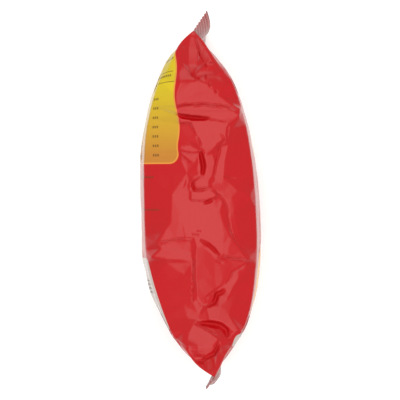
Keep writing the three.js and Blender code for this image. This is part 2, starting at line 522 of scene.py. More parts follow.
UPPER_SLITS = (
    Slit("beside the gusset", ((-2.8, 102), (-1, 96), (0.6, 92), (3.8, 86)), 1, 0.9),
    Slit("first spot by the gusset", ((3, 87), (4.6, 84)), 1.4, 1),
    Slit("second spot by the gusset", ((3.4, 80), (4.2, 77.4)), 1.4, 1),
    Slit("third spot by the gusset", ((5.6, 74.8), (7.2, 72.8)), 1.4, 1),
    Slit("fourth spot by the gusset", ((9.6, 70.6), (11.2, 68.8)), 1.4, 1),
    Slit("left of the gusset", ((-11.6, 88), (-5.2, 79)), 0.6, 0.8),
    Slit("over the roof", ((-3.4, 77), (1.2, 76)), 0.9, 0.9),
    Slit("under the roof, left", ((-15.4, 60), (-6.4, 60.8), (-2.6, 61.4)), 1.8, 1.2),
    Slit("under the roof, middle", ((-2.6, 61.4), (9, 61.4)), 0.6, 0.7),
    Slit("under the roof, right", ((9.4, 61.4), (14, 60.4), (18.6, 59.4)), 1.4, 1),
    Slit("strip line", ((-15.4, 56.8), (20.4, 56.8)), 0.5, 0.6),
    Slit("wedge", ((-15.6, 55.2), (-6.4, 53.4), (0, 53), (6.2, 52.4)), 3, 1.7),
    Slit("right of the V", ((19.2, 48.8), (18, 46), (17.6, 39.4)), 1.2, 1),
    Slit("hook of the V", ((13.4, 43), (16, 38.4), (10.8, 35.2)), 0.8, 0.8),
    Slit(
        "joint under the V",
        ((16.6, 39), (12.8, 34), (12.2, 30), (10.8, 25.6), (9.8, 21), (9.2, 14)),
        0.9, 0.9,
    ),
    Slit("left of the V", ((-2.6, 41.6), (-0.6, 38.4), (1.2, 34)), 0.7, 0.9),
    Slit("left laps", ((-12.8, 31.4), (-6.4, 29.8), (-2.6, 30)), 0.7, 0.7),
    Slit("under the left laps", ((-12.4, 28.8), (-7.6, 25)), 1, 0.9),
    Slit("drop", ((0.2, 31.6), (1.6, 25), (2.2, 22), (1.6, 16)), 3.4, 2.2),
    Slit(
        "round the nose",
        ((2.6, 14.8), (-0.6, 14.8), (-3.8, 12.8), (-5.4, 10.2), (-3.6, 6.4), (0, 6.2), (5.4, 7.6)),
        1.5, 1.1,
    ),
    Slit(
        "right of the nose",
        ((5.4, 7.6), (10.2, 5.4), (12.2, 3.2), (15.4, 0), (18, -6.4), (18.6, -12.8)),
        1, 0.9,
    ),
    Slit(
        "right of the bell",
        ((18.6, -12.8), (19.6, -19.2), (22.4, -25.6), (25.6, -29.8), (31.6, -38)),
        0.9, 0.9,
    ),
    Slit("short tuck", ((15.4, 15), (23.4, 14.2)), 1.1, 0.8),
    Slit("lens, left", ((-5.2, -0.6), (0, -1.2)), 0.6, 0.7),
    Slit("lens, right", ((2.6, -2), (5.4, -1.2), (8.6, 0.6)), 1.6, 1.3),
    Slit("upper mark of the knot", ((-2, -20.4), (0.8, -19.8)), 0.9, 0.8),
    Slit("lower mark of the knot", ((-5.2, -22), (-0.6, -23)), 1, 0.9),
    Slit("left mark of the knot", ((-7.6, -27.2), (-4.4, -26.2)), 0.8, 0.8),
    Slit("under the bell, left", ((-27.6, -27.8), (-19.2, -26.2), (-9.6, -25), (-2, -25)), 0.8, 0.8),
    Slit("under the bell, right", ((0, -25.6), (5.2, -28.8), (9, -32), (12.2, -36.2)), 2.2, 1.5),
    Slit("from the bell to the front", ((13, -37), (19.2, -37.8), (31.4, -38.8)), 0.7, 0.7),
    Slit("mark under the bell", ((10.2, -38.8), (14.8, -40.4)), 0.8, 0.8),
    Slit("standing crease, start", ((-4.8, -37), (-4.8, -48)), 0.5, 0.7),
    Slit("standing crease, upper dash", ((-4.8, -49.4), (-4.8, -52.2)), 1, 0.8),
    Slit("standing crease, middle dash", ((-4.8, -55.6), (-4.8, -60.8)), 1.1, 0.9),
    Slit("standing crease, lower dash", ((-4.8, -62.6), (-4.6, -65)), 1, 0.8),
    Slit(
        "tongue, upper edge",
        ((31.6, -39), (28.8, -42.2), (24.4, -44.8), (21, -46.8), (18.6, -52.4), (16.6, -54.4)),
        0.8, 0.8,
    ),
    Slit("tongue, inner edge", ((16.6, -54.4), (12.2, -57), (5.2, -62), (3.2, -64)), 0.7, 0.7),
    Slit(
        "under the tongue",
        ((16, -57.6), (14, -59.6), (10.8, -60.8), (10.2, -64), (9, -66), (5.2, -68.2)),
        2.2, 2,
    ),
    Slit("mark under the tongue", ((-0.6, -66.6), (2, -67.8)), 0.7, 0.7),
    Slit(
        "under the lower lap",
        ((-0.6, -78.8), (8.4, -79.4), (13.4, -80.4), (16.6, -83), (18, -88.6)),
        2.8, 2.6,
    ),
    Slit("beside the heel facet", ((2, -81.2), (12.2, -86.4)), 0.8, 0.8),
    Slit("under the heel facet", ((-7, -95.6), (0, -96), (4.4, -98)), 0.6, 0.8),
    Slit(
        "under the heel",
        ((12.2, -90.2), (10.8, -94.8), (9, -98), (3.2, -100.6), (2, -102.4), (-2.6, -101.8)),
        2, 1.9,
    ),
)


class CreaseNet:
    """Flat facets stretched between crease points, as slack film makes them."""

    def __init__(self, lines: list[np.ndarray]) -> None:
        """Joins points into triangles that keep every line as an edge.

        Args:
            lines: Creases, as rows of two plan coordinates and a height.
        """
        corners = np.concatenate(lines)
        starts = np.cumsum([0] + [len(line) for line in lines])
        edges = [(k, k + 1) for first, last in zip(starts, starts[1:]) for k in range(first, last - 1)]
        places = [Vector(corner[:2]) for corner in corners]
        spots, _, triangles, origins, _, _ = delaunay_2d_cdt(places, edges, [], 0, NET_MERGE)
        self.spots = np.array([spot[:] for spot in spots])
        self.triangles = [list(triangle) for triangle in triangles]
        self.heights = np.array([corners[origin[0], 2] if origin else math.nan for origin in origins])
        self._fill_crossings()

    def _fill_crossings(self) -> None:
        """Gives points where two lines cross the mean height of the points around them."""
        for spot in np.flatnonzero(np.isnan(self.heights)):
            around = [corner for triangle in self.triangles if spot in triangle for corner in triangle]
            self.heights[spot] = np.nanmean(self.heights[around])

    def height(self, plan: np.ndarray) -> np.ndarray:
        """Reads the facets' height at points.

        Args:
            plan: Points as rows of two plan coordinates.

        Returns:
            Their heights, not a number outside the net.
        """
        result = np.full(len(plan), math.nan)
        for corners in self.triangles:
            a, b, c = self.spots[corners]
            low = np.minimum(np.minimum(a, b), c)
            high = np.maximum(np.maximum(a, b), c)
            near = np.flatnonzero(((plan >= low) & (plan <= high)).all(axis=1))
            sides = np.column_stack((b - a, c - a))
            if not len(near) or abs(np.linalg.det(sides)) < NET_SLACK:
                continue
            shares = (plan[near] - a) @ np.linalg.inv(sides).T
            inside = (shares >= -NET_SLACK).all(axis=1) & (shares.sum(axis=1) <= 1 + NET_SLACK)
            ha, hb, hc = self.heights[corners]
            result[near[inside]] = (ha + shares @ np.array([hb - ha, hc - ha]))[inside]
        return result


def slit_height(slit: Slit, plan: np.ndarray) -> np.ndarray:
    """Gives how far a tuck lowers the film, deepest in its middle and running out at both ends.

    Args:
        slit: The tuck.
        plan: Points as rows of x and y, in millimetres.

    Returns:
        Their heights in millimetres, negative in the tuck.
    """
    corners = np.array(slit.points, dtype=float)
    steps = np.linalg.norm(np.diff(corners, axis=0), axis=1)
    ends = np.concatenate(([0], np.cumsum(steps)))
    result = np.zeros(len(plan))
    for k, step in enumerate(steps):
        direction = (corners[k + 1] - corners[k]) / step
        travelled = np.clip((plan - corners[k]) @ direction, 0, step)
        nearest = corners[k] + travelled[:, None] * direction
        distance = np.linalg.norm(plan - nearest, axis=1)
        share = (ends[k] + travelled) / ends[-1]
        body = np.sqrt(np.clip(4 * share * (1 - share), 0, 1))
        width = slit.half_width * mix(TUCK_END_WIDTH, TUCK_MIDDLE_WIDTH, body)
        result = np.minimum(result, -slit.depth * body * np.clip(1 - distance / width, 0, 1))
    return result


@dataclass(frozen=True)
class Dents:
    """Shallow facets of film that presses on what it holds.

    Attributes:
        spacing: Mean distance between their corners, in millimetres.
        depth: Greatest height of a corner over the smooth film, or depth under it, in millimetres.
        seed: Start of the random numbers.
        jitter: How far a corner strays, as a share of the spacing.
    """

    spacing: float
    depth: float
    seed: int
    jitter: float = 0.42

    def height(self, web: np.ndarray, size: tuple[float, float]) -> np.ndarray:
        """Reads the facets' height at points of the flat web.

        Args:
            web: Points as rows of distances across and along the web, in millimetres.
            size: The web's width and length, in millimetres.

        Returns:
            Their heights in millimetres, 0 at the web's edges.
        """
        random = np.random.default_rng(self.seed)
        columns, rows = (math.ceil(extent / self.spacing) for extent in size)
        grid = np.array([(i, j) for i in range(columns + 1) for j in range(rows + 1)], dtype=float)
        inner = ((grid > 0) & (grid < (columns, rows))).all(axis=1, keepdims=True)
        strayed = grid + inner * random.uniform(-self.jitter, self.jitter, grid.shape)
        moved = strayed / (columns, rows) * size
        heights = inner * random.uniform(-self.depth, self.depth, (len(grid), 1))
        corners = np.hstack((moved, heights))
        return np.nan_to_num(CreaseNet([corner[None] for corner in corners]).height(web))


# Film

@dataclass(frozen=True)
class FilmWeb:
    """The printed film, as a grid of rows along the bag and columns around it."""

    shape: BagShape = BagShape()
    upper_columns: int = 204
    other_columns: int = 72
    body_rows: int = 308
    seal_rows: int = 24
    upper_share: float = 0.62
    end_crowding: float = 0.12
    film_width: float = 372 * MM
    film_length: float = 250 * MM
    crimp_ribs: int = 7
    crimp_depth: float = 0.42 * MM
    pleat_count: int = 5
    pleat_depth: float = 1.8 * MM
    pleat_fade: float = 21 * MM
    top_net: tuple[float, float] = (0.7, 0.81)
    bottom_net: tuple[float, float] = (0.79, 0.87)
    rim_reach: float = 0.92
    end_rim_reach: float = 0.95
    end_net_reach: float = 0.85
    rim_slope: float = 0.29
    outer_reach: float = 0.985
    rim_steps: int = 48
    rim_end: float = 0.99
    dent_fade_rows: int = 38
    softening: int = 1
    panel_dents: Dents = Dents(spacing=24, depth=1.1, seed=7)
    crinkles: Dents = Dents(spacing=8, depth=0.16, seed=11)
    map_middle: tuple[float, float] = (0.25, 0.5)
    map_name: str = "OFBake"
    tuck_name: str = "tuck"
    # Tuck depth in millimetres at which the painted shade of a tuck is full.
    tuck_shade: float = 1.2

    def lay(self) -> "LaidFilm":
        """Wraps, presses and creases the film."""
        smooth = self._wrapped()
        places, tucks = self._creased(smooth)
        return LaidFilm(places, smooth.web, tucks)

    def build(self, laid: "LaidFilm") -> bpy.types.Object:
        """Makes the film's object.

        Args:
            laid: The creased film.

        Returns:
            The object, one closed mesh with its map of the flat web.
        """
        return sheet_object("film", laid, self.map_name, self.tuck_name)

    def _turns(self) -> np.ndarray:
        """Spaces the columns once around from the back's middle, closer on the upper side."""
        quarter = 1 / 4
        even = np.linspace(-1, 1, self.upper_columns + 1)
        upper = quarter * (even * (1 - self.upper_share) + self.upper_share * even ** 3)
        other = np.linspace(quarter, 1 - quarter, self.other_columns + 1)
        return np.concatenate((upper, other[1:]))

    def _wrapped(self) -> "WrappedFilm":
        """Lays the rows of the film around the smooth bag.

        Returns:
            The film's points, with their places on the flat web.
        """
        turns = self._turns()
        rows = [self._seal_row(End.BOTTOM, 1 - k / self.seal_rows, turns) for k in range(self.seal_rows)]
        for k in range(self.body_rows + 1):
            share = k / self.body_rows
            along = mix(2 * share - 1, -math.cos(math.pi * share), self.end_crowding)
            rows.append(self._body_row(along, turns))
        rows += [self._seal_row(End.TOP, (k + 1) / self.seal_rows, turns) for k in range(self.seal_rows)]
        film = WrappedFilm(*(np.array(part) for part in zip(*rows)))
        for row in (0, -1):
            film.places[row] = (film.places[row] + film.places[row][self._facing()]) / 2
        return film

    def _facing(self) -> np.ndarray:
        """Numbers, for each column, the one that lies across the bag's thickness from it."""
        upper = np.arange(self.upper_columns, -1, -1)
        other = np.arange(self.upper_columns + self.other_columns - 1, self.upper_columns - 1, -1)
        return np.concatenate((upper, other))

    def _web_points(self, turns: np.ndarray, perimeter: float, length: float) -> np.ndarray:
        """Places the points of a row on the flat web's map, which runs from 0 to 1 both ways."""
        u = self.map_middle[0] + turns * perimeter / self.film_width
        v = np.full_like(turns, self.map_middle[1] + length / self.film_length)
        return np.column_stack((u, v))

    def _body_row(self, along: float, turns: np.ndarray) -> tuple[np.ndarray, ...]:
        """Makes one row of the filled body, with the pleats that run into it from the nearer seal.

        Args:
            along: The row's place along the body, from -1 to 1.
            turns: Shares of the perimeter of its points.

        Returns:
            The points, their places on the web, their heights and reaches as shares, and the row's place.
        """
        section = self.shape.section(along, turns, thin=False)
        half_width, middle = self.shape.heights(along)
        body = self.shape.end(End.TOP if along > 0 else End.BOTTOM).body
        to_seal = body * (1 - abs(along))
        fade = math.exp(-to_seal / self.pleat_fade) * smooth_step(to_seal, 0, self.pleat_fade / 2)
        waves = np.cos(2 * math.pi * self.pleat_count * section.up)
        pleat = section.across * self.pleat_depth * fade * waves
        y = self.shape.length(along, section.up)
        places = np.column_stack((section.x + pleat, y, middle + half_width * section.up))
        web = self._web_points(turns, section.perimeter, along * body)
        return places, web, section.up, section.across, np.full_like(turns, along)

    def _seal_row(self, end: End, share: float, turns: np.ndarray) -> tuple[np.ndarray, ...]:
        """Makes one row of an end seal.

        Args:
            end: Which end.
            share: Its height in the seal, from 0 at the body to 1 at the cut edge.
            turns: Shares of the perimeter of its points.

        Returns:
            The points, their places on the web, their heights and reaches as shares, and the row's place.
        """
        shape = self.shape
        section = shape.section(float(end.value), turns, thin=True)
        up = section.up
        half_width, middle = shape.heights(float(end.value))
        lean = shape.lean(end, up)
        curl = mix(1, shape.end(end).ear_height, smooth_step(np.abs(up), shape.crumple_start, 1))
        rise = np.sqrt(shape.seal_height ** 2 - lean ** 2) * curl
        ribs = self.crimp_depth * math.sin(2 * math.pi * self.crimp_ribs * share)
        y = shape.length(float(end.value), up) + end.value * rise * share
        places = np.column_stack((section.x + lean * share + ribs, y, middle + half_width * up))
        length = end.value * (shape.end(end).body + share * shape.seal_height)
        web = self._web_points(turns, section.perimeter, length)
        return places, web, up, section.across, np.full_like(turns, end.value)

    def _rim(self, middle_reach: float, end_reach: float) -> list[np.ndarray]:
        """Lines the upper side along both panels, for the crease net to follow.

        Args:
            middle_reach: The lines' distance from the section's middle, as a share of its half thickness.
            end_reach: The same at the ends of the bag.

        Returns:
            The back's and the front's line, in millimetres.
        """
        lines: dict[int, list[tuple[float, float, float]]] = {-1: [], 1: []}
        for along in np.linspace(-self.rim_end, self.rim_end, self.rim_steps + 1):
            middle, half, side_power = self.shape.thickness(along, thin=False)
            reach = mix(middle_reach, end_reach, along ** 2)
            half_width, mid_height = self.shape.heights(along)
            rounded = (1 - reach ** self.shape.panel_power) ** (1 / side_power)
            planar = 1 - self.rim_slope * half / half_width
            up = rounded if reach == self.outer_reach else max(rounded, planar)
            y = float(self.shape.length(along, np.array(rounded)))
            for side, line in lines.items():
                line.append((middle + side * half * reach, y, mid_height + half_width * up))
        return [np.array(line) / MM for line in lines.values()]

    def _crease_net(self) -> CreaseNet:
        """Stretches the upper side's facets between the folds and the panels, in millimetres."""
        lines = self._rim(self.rim_reach, self.end_rim_reach)
        lines += self._rim(self.outer_reach, self.outer_reach)
        for fold in UPPER_FOLDS:
            points = np.array(fold.points, dtype=float)
            points[:, 2] = self._crest(points[:, 1]) - points[:, 2]
            lines.append(points)
        for facet in UPPER_FACETS:
            corners = np.array(facet.corners + facet.corners[:1], dtype=float)
            rise = (corners - facet.at) @ facet.lean
            lines.append(np.column_stack((corners, self._crest(facet.at[1]) - facet.depth + rise)))
        return CreaseNet(lines)

    def _crest(self, y: np.ndarray | float) -> np.ndarray:
        """Gives the smooth crest's height at distances along the bag, all in millimetres."""
        return self.shape.crest(np.array(y) * MM) / MM

    def _end_net(self) -> CreaseNet:
        """Stretches low facets between the ends' folds, as heights over the smooth film in millimetres."""
        rims = self._rim(self.end_net_reach, self.end_net_reach)
        for rim in rims:
            rim[:, 2] = 0
        return CreaseNet(rims + [np.array(fold.points, dtype=float) for fold in END_FOLDS])

    def _softened(self, heights: np.ndarray) -> np.ndarray:
        """Rounds creases a little, as stiff film does, by averaging each point with its neighbours."""
        for _ in range(self.softening):
            padded = np.pad(heights, 1, mode="edge")
            around = padded[:-2, 1:-1] + padded[2:, 1:-1] + padded[1:-1, :-2] + padded[1:-1, 2:]
            heights = (heights + around / 4) / 2
        return heights

    def _creased(self, film: "WrappedFilm") -> tuple[np.ndarray, np.ndarray]:
        """Moves the smooth film to its facets, tucks and dents.

        Args:
            film: The smooth film.

        Returns:
            The creased points, and how deep in a tuck each one is, from 0 to 1.
        """
        plan = film.places[..., :2].reshape(-1, 2) / MM
        size = (self.film_width / MM, self.film_length / MM)
        web = film.web.reshape(-1, 2) * size
        grid = film.up.shape
        body = np.zeros(grid)
        body[self.seal_rows:self.seal_rows + self.body_rows + 1] = 1
        upper = body * (film.up > 0) * (np.abs(film.across) < self.outer_reach)
        raised = self._crease_net().height(plan).reshape(grid) - film.places[..., 2] / MM
        near = np.abs(film.across) < self.end_net_reach
        low = np.nan_to_num(self._end_net().height(plan)).reshape(grid) * near
        to_top = smooth_step(film.along, *self.top_net)
        to_bottom = smooth_step(-film.along, *self.bottom_net)
        facets = mix(np.nan_to_num(raised), low, to_top + to_bottom) * upper
        tucks = sum(slit_height(slit, plan) for slit in UPPER_SLITS).reshape(grid) * upper
        crinkles = self.crinkles.height(web, size).reshape(grid) * body
        dented = self.seal_rows + self.dent_fade_rows
        to_ends = smooth_step(np.arange(grid[0]), self.seal_rows, dented)
        dents = self.panel_dents.height(web, size).reshape(grid) * body * (1 - upper)
        dents *= (to_ends * to_ends[::-1])[:, None]
        moved = film.places + outward(film.places) * (crinkles + self._softened(dents))[..., None] * MM
        moved[..., 2] += (self._softened(facets) + tucks) * MM
        moved[..., 2] = np.maximum(moved[..., 2], 0)
        moved[:, -1] = moved[:, 0]
        return moved, np.clip(-tucks / self.tuck_shade, 0, 1)


@dataclass(frozen=True)
class LaidFilm:
    """A closed tube of film, by row and column.

    Attributes:
        places: The points' places. The first and last columns meet, and the end rows have no thickness.
        web: Their places on the flat web's map.
        tucks: How deep in a tuck each one is, from 0 to 1.
    """

    places: np.ndarray
    web: np.ndarray
    tucks: np.ndarray


def sheet_object(name: str, laid: LaidFilm, map_name: str, tuck_name: str) -> bpy.types.Object:
    """Turns a tube of film into an object.

    Args:
        name: The object's name.
        laid: The film.
        map_name: Name of its map of the flat web.
        tuck_name: Name of the attribute that holds its tucks.

    Returns:
        The object, one closed mesh.
    """
    rows, columns = (count - 1 for count in laid.tucks.shape)
    bm = bmesh.new()
    bmesh.ops.create_grid(bm, x_segments=columns, y_segments=rows, size=1)
    flat = np.array([vertex.co[:2] for vertex in bm.verts])
    column = np.rint((flat[:, 0] + 1) / 2 * columns).astype(int)
    row = np.rint((flat[:, 1] + 1) / 2 * rows).astype(int)
    layer = bm.loops.layers.uv.new(map_name)
    shade = bm.verts.layers.float.new(tuck_name)
    web = laid.web[row, column]
    for face in bm.faces:
        face.smooth = True
        for loop in face.loops:
            loop[layer].uv = web[loop.vert.index]
    for vertex, place, tuck in zip(bm.verts, laid.places[row, column], laid.tucks[row, column]):
        vertex.co = place
        vertex[shade] = tuck
    bmesh.ops.remove_doubles(bm, verts=bm.verts, dist=MERGE_DISTANCE)
    bmesh.ops.recalc_face_normals(bm, faces=bm.faces)
    mesh = bpy.data.meshes.new(name)
    bm.to_mesh(mesh)
    bm.free()
    sheet = bpy.data.objects.new(name, mesh)
    bpy.context.collection.objects.link(sheet)
    return sheet


def outward(places: np.ndarray) -> np.ndarray:
    """Gives the outward directions of a tube of points, by row and column."""
    ring = places[:, :-1]
    around = np.roll(ring, -1, axis=1) - np.roll(ring, 1, axis=1)
    around = np.concatenate((around, around[:, :1]), axis=1)
    along = np.gradient(places, axis=0)
    direction = np.cross(along, around)
    length = np.linalg.norm(direction, axis=-1, keepdims=True)
    return direction / np.maximum(length, SHORTEST)


@dataclass(frozen=True)
class BackSeam:
    """The welded fin along the middle of the back panel, folded flat onto it."""

    columns: int = 5
    rows: int = 100
    end_gap: int = 5
    lift: float = 0.3 * MM
    thickness: float = 0.4 * MM

    def build(self, web: FilmWeb, laid: LaidFilm) -> bpy.types.Object:
        """Lays the fin on the creased film.

        Args:
            web: The film's sizes.
            laid: The creased film, whose first column is the middle of the back panel.

        Returns:
            The fin's object, one closed mesh.
        """
        first = web.seal_rows + self.end_gap
        picked = np.linspace(first, first + web.body_rows - 2 * self.end_gap, self.rows + 1).astype(int)
        ways = outward(laid.places)[picked, :self.columns + 1]
        inner = laid.places[picked, :self.columns + 1] + ways * self.lift
        outer = inner + ways * self.thickness
        for row in (0, -1):
            inner[row] = outer[row] = (inner[row] + outer[row]) / 2
        places = np.concatenate((outer, inner[:, ::-1], outer[:, :1]), axis=1)
        flat = laid.web[picked, :self.columns + 1]
        maps = np.concatenate((flat, flat[:, ::-1], flat[:, :1]), axis=1)
        fin = LaidFilm(places, maps, np.zeros(places.shape[:2]))
        return sheet_object("back_seam", fin, web.map_name, web.tuck_name)


@dataclass
class WrappedFilm:
    """Points of the wrapped film, by row and column.

    Attributes:
        places: Their places on the bag.
        web: Their places on the flat web's map.
        up: Their heights as shares of the section's half width.
        across: Their distances from the section's middle as shares of its half thickness.
        along: Their sections' places along the body, from -1 to 1.
    """

    places: np.ndarray
    web: np.ndarray
    up: np.ndarray
    across: np.ndarray
    along: np.ndarray


# Finishes

class Signal:
    """A shader socket that takes part in Python expressions, each of which adds a Math node."""

    def __init__(self, sheet: "NodeSheet", socket: bpy.types.NodeSocket) -> None:
        """Wraps a socket of a sheet of nodes."""
        self.sheet = sheet
        self.socket = socket

    def _math(self, operation: str, *values: "Signal | float") -> "Signal":
        """Adds a Math node and gives its result."""
        inputs = dict(enumerate(values))
        return self.sheet.signal("ShaderNodeMath", {"operation": operation}, inputs)

    def __add__(self, other: "Signal | float") -> "Signal":
        """Adds."""
        return self._math("ADD", self, other)

    __radd__ = __add__

    def __sub__(self, other: "Signal | float") -> "Signal":
        """Takes away."""
        return self._math("SUBTRACT", self, other)

    def __rsub__(self, other: float) -> "Signal":
        """Is taken away from a number."""
        return self._math("SUBTRACT", other, self)

    def __mul__(self, other: "Signal | float") -> "Signal":
        """Multiplies."""
        return self._math("MULTIPLY", self, other)

    __rmul__ = __mul__

    def __truediv__(self, other: "Signal | float") -> "Signal":
        """Divides."""
        return self._math("DIVIDE", self, other)

    def __pow__(self, other: float) -> "Signal":
        """Raises to a power."""
        return self._math("POWER", self, other)

    def __abs__(self) -> "Signal":
        """Drops the sign."""
        return self._math("ABSOLUTE", self)

    def at_least(self, other: "Signal | float") -> "Signal":
        """Gives the larger of the two."""
        return self._math("MAXIMUM", self, other)

    def at_most(self, other: "Signal | float") -> "Signal":
        """Gives the smaller of the two."""
        return self._math("MINIMUM", self, other)

    def clamped(self) -> "Signal":
        """Keeps the value from 0 to 1."""
        return self.at_least(0).at_most(1)

    def sine(self) -> "Signal":
        """Gives the sine of an angle in radians."""
        return self._math("SINE", self)

    def cosine(self) -> "Signal":
        """Gives the cosine of an angle in radians."""
        return self._math("COSINE", self)

    def fraction(self) -> "Signal":
        """Keeps what follows the decimal point."""
        return self._math("FRACT", self)


class NodeSheet:
    """The nodes of one material."""

    def __init__(self, name: str) -> None:
        """Starts a material with nothing but its output.

        Args:
            name: The material's name.
        """
        self.material = bpy.data.materials.new(name)
        self.material.use_nodes = True
        self.tree = self.material.node_tree
        self.tree.nodes.clear()

    def node(
        self, kind: str, settings: dict[str, object], inputs: dict[int | str, object]
    ) -> bpy.types.Node:
        """Adds one node.

        Args:
            kind: The node's type.
            settings: Its properties, set first.
            inputs: Values or links of its sockets, by number or name.

        Returns:
            The new node.
        """
        node = self.tree.nodes.new(kind)
        for name, value in settings.items():
            setattr(node, name, value)
        for key, value in inputs.items():
            socket = node.inputs[key]
            if isinstance(value, Signal):
                self.tree.links.new(value.socket, socket)
            else:
                socket.default_value = value
        return node

    def signal(
        self, kind: str, settings: dict[str, object], inputs: dict[int | str, object], output: int | str = 0
    ) -> Signal:
        """Adds one node and wraps one of its outputs.

        Args:
            kind: The node's type.
            settings: Its properties.
            inputs: Values or links of its sockets.
            output: Which output to wrap.

        Returns:
            The wrapped output.
        """
        return Signal(self, self.node(kind, settings, inputs).outputs[output])

    def over(self, under: Signal | Colour, colour: Signal | Colour, mask: Signal) -> Signal:
        """Lays a colour over another where a mask is 1.

        Args:
            under: The colour below.
            colour: The colour on top.
            mask: Where the top colour shows, from 0 to 1.

        Returns:
            The mixed colour.
        """
        return self.signal("ShaderNodeMix", {"data_type": "RGBA"}, {0: mask, 6: under, 7: colour}, 2)


Colour = tuple[float, float, float, float]


def paint(red: int, green: int, blue: int) -> Colour:
    """Turns a colour as it looks on a screen, from 0 to 255, into light."""
    light = [((c / 255 + 0.055) / 1.055) ** 2.4 if c > 10 else c / 255 / 12.92 for c in (red, green, blue)]
    return (*light, 1.0)


@dataclass(frozen=True)
class PrintBox:
    """A printed rectangle with round corners, on the flat web in millimetres.

    Attributes:
        low: Its lowest corner, as distances around the film and along it.
        high: Its highest corner.
        radius: Radius of its corners.
    """

    low: tuple[float, float]
    high: tuple[float, float]
    radius: float

    def distance(self, across: Signal, along: Signal) -> Signal:
        """Measures the distance to the rectangle.

        Args:
            across: Distance around the film from the upper side's middle, in millimetres.
            along: Distance along the film from its middle, in millimetres.

        Returns:
            The distance in millimetres, negative inside.
        """
        (left, bottom), (right, top) = self.low, self.high
        beside = abs(across - (left + right) / 2) - ((right - left) / 2 - self.radius)
        above = abs(along - (bottom + top) / 2) - ((top - bottom) / 2 - self.radius)
        outside = (beside.at_least(0) ** 2 + above.at_least(0) ** 2) ** 0.5
        return outside + beside.at_least(above).at_most(0) - self.radius

    def mask(self, across: Signal, along: Signal) -> Signal:
        """Gives 1 inside the rectangle and 0 outside."""
        return inside(self.distance(across, along))


@dataclass(frozen=True)
class PrintBars:
    """Printed bars at equal steps.

    Attributes:
        start: Middle of one bar, in millimetres.
        step: Distance from bar to bar.
        half_width: Half the width of a bar.
    """

    start: float
    step: float
    half_width: float

    def mask(self, place: Signal) -> Signal:
        """Gives 1 on the bars and 0 between them, at distances across them."""
        share = ((place - self.start) / self.step + 0.5).fraction()
        return inside(abs(share - 0.5) * self.step - self.half_width)


@dataclass(frozen=True)
class PrintedCrisp:
    """A printed crisp, as a turned oval.

    Attributes:
        across: Its middle's distance around the film, in millimetres.
        along: Its middle's distance along the film, in millimetres.
        turn: Its turn in radians.
        reach: Half its length, in millimetres.
        slimness: Its length over its width.
    """

    across: float
    along: float
    turn: float
    reach: float = 15
    slimness: float = 1.5

    def distance(self, across: Signal, along: Signal) -> Signal:
        """Measures roughly the distance to the oval in millimetres, negative inside."""
        beside = across - self.across
        above = along - self.along
        long_way = beside * math.cos(self.turn) + above * math.sin(self.turn)
        short_way = above * math.cos(self.turn) - beside * math.sin(self.turn)
        return (long_way ** 2 + (short_way * self.slimness) ** 2) ** 0.5 - self.reach


def inside(distance: Signal, softness: float = 0.25) -> Signal:
    """Turns a distance into a mask, 1 where it is negative, with a soft edge."""
    return (0.5 - distance / softness).clamped()


def any_of(masks: list[Signal]) -> Signal:
    """Joins masks into one that is 1 where any of them is."""
    return reduce(Signal.at_least, masks)


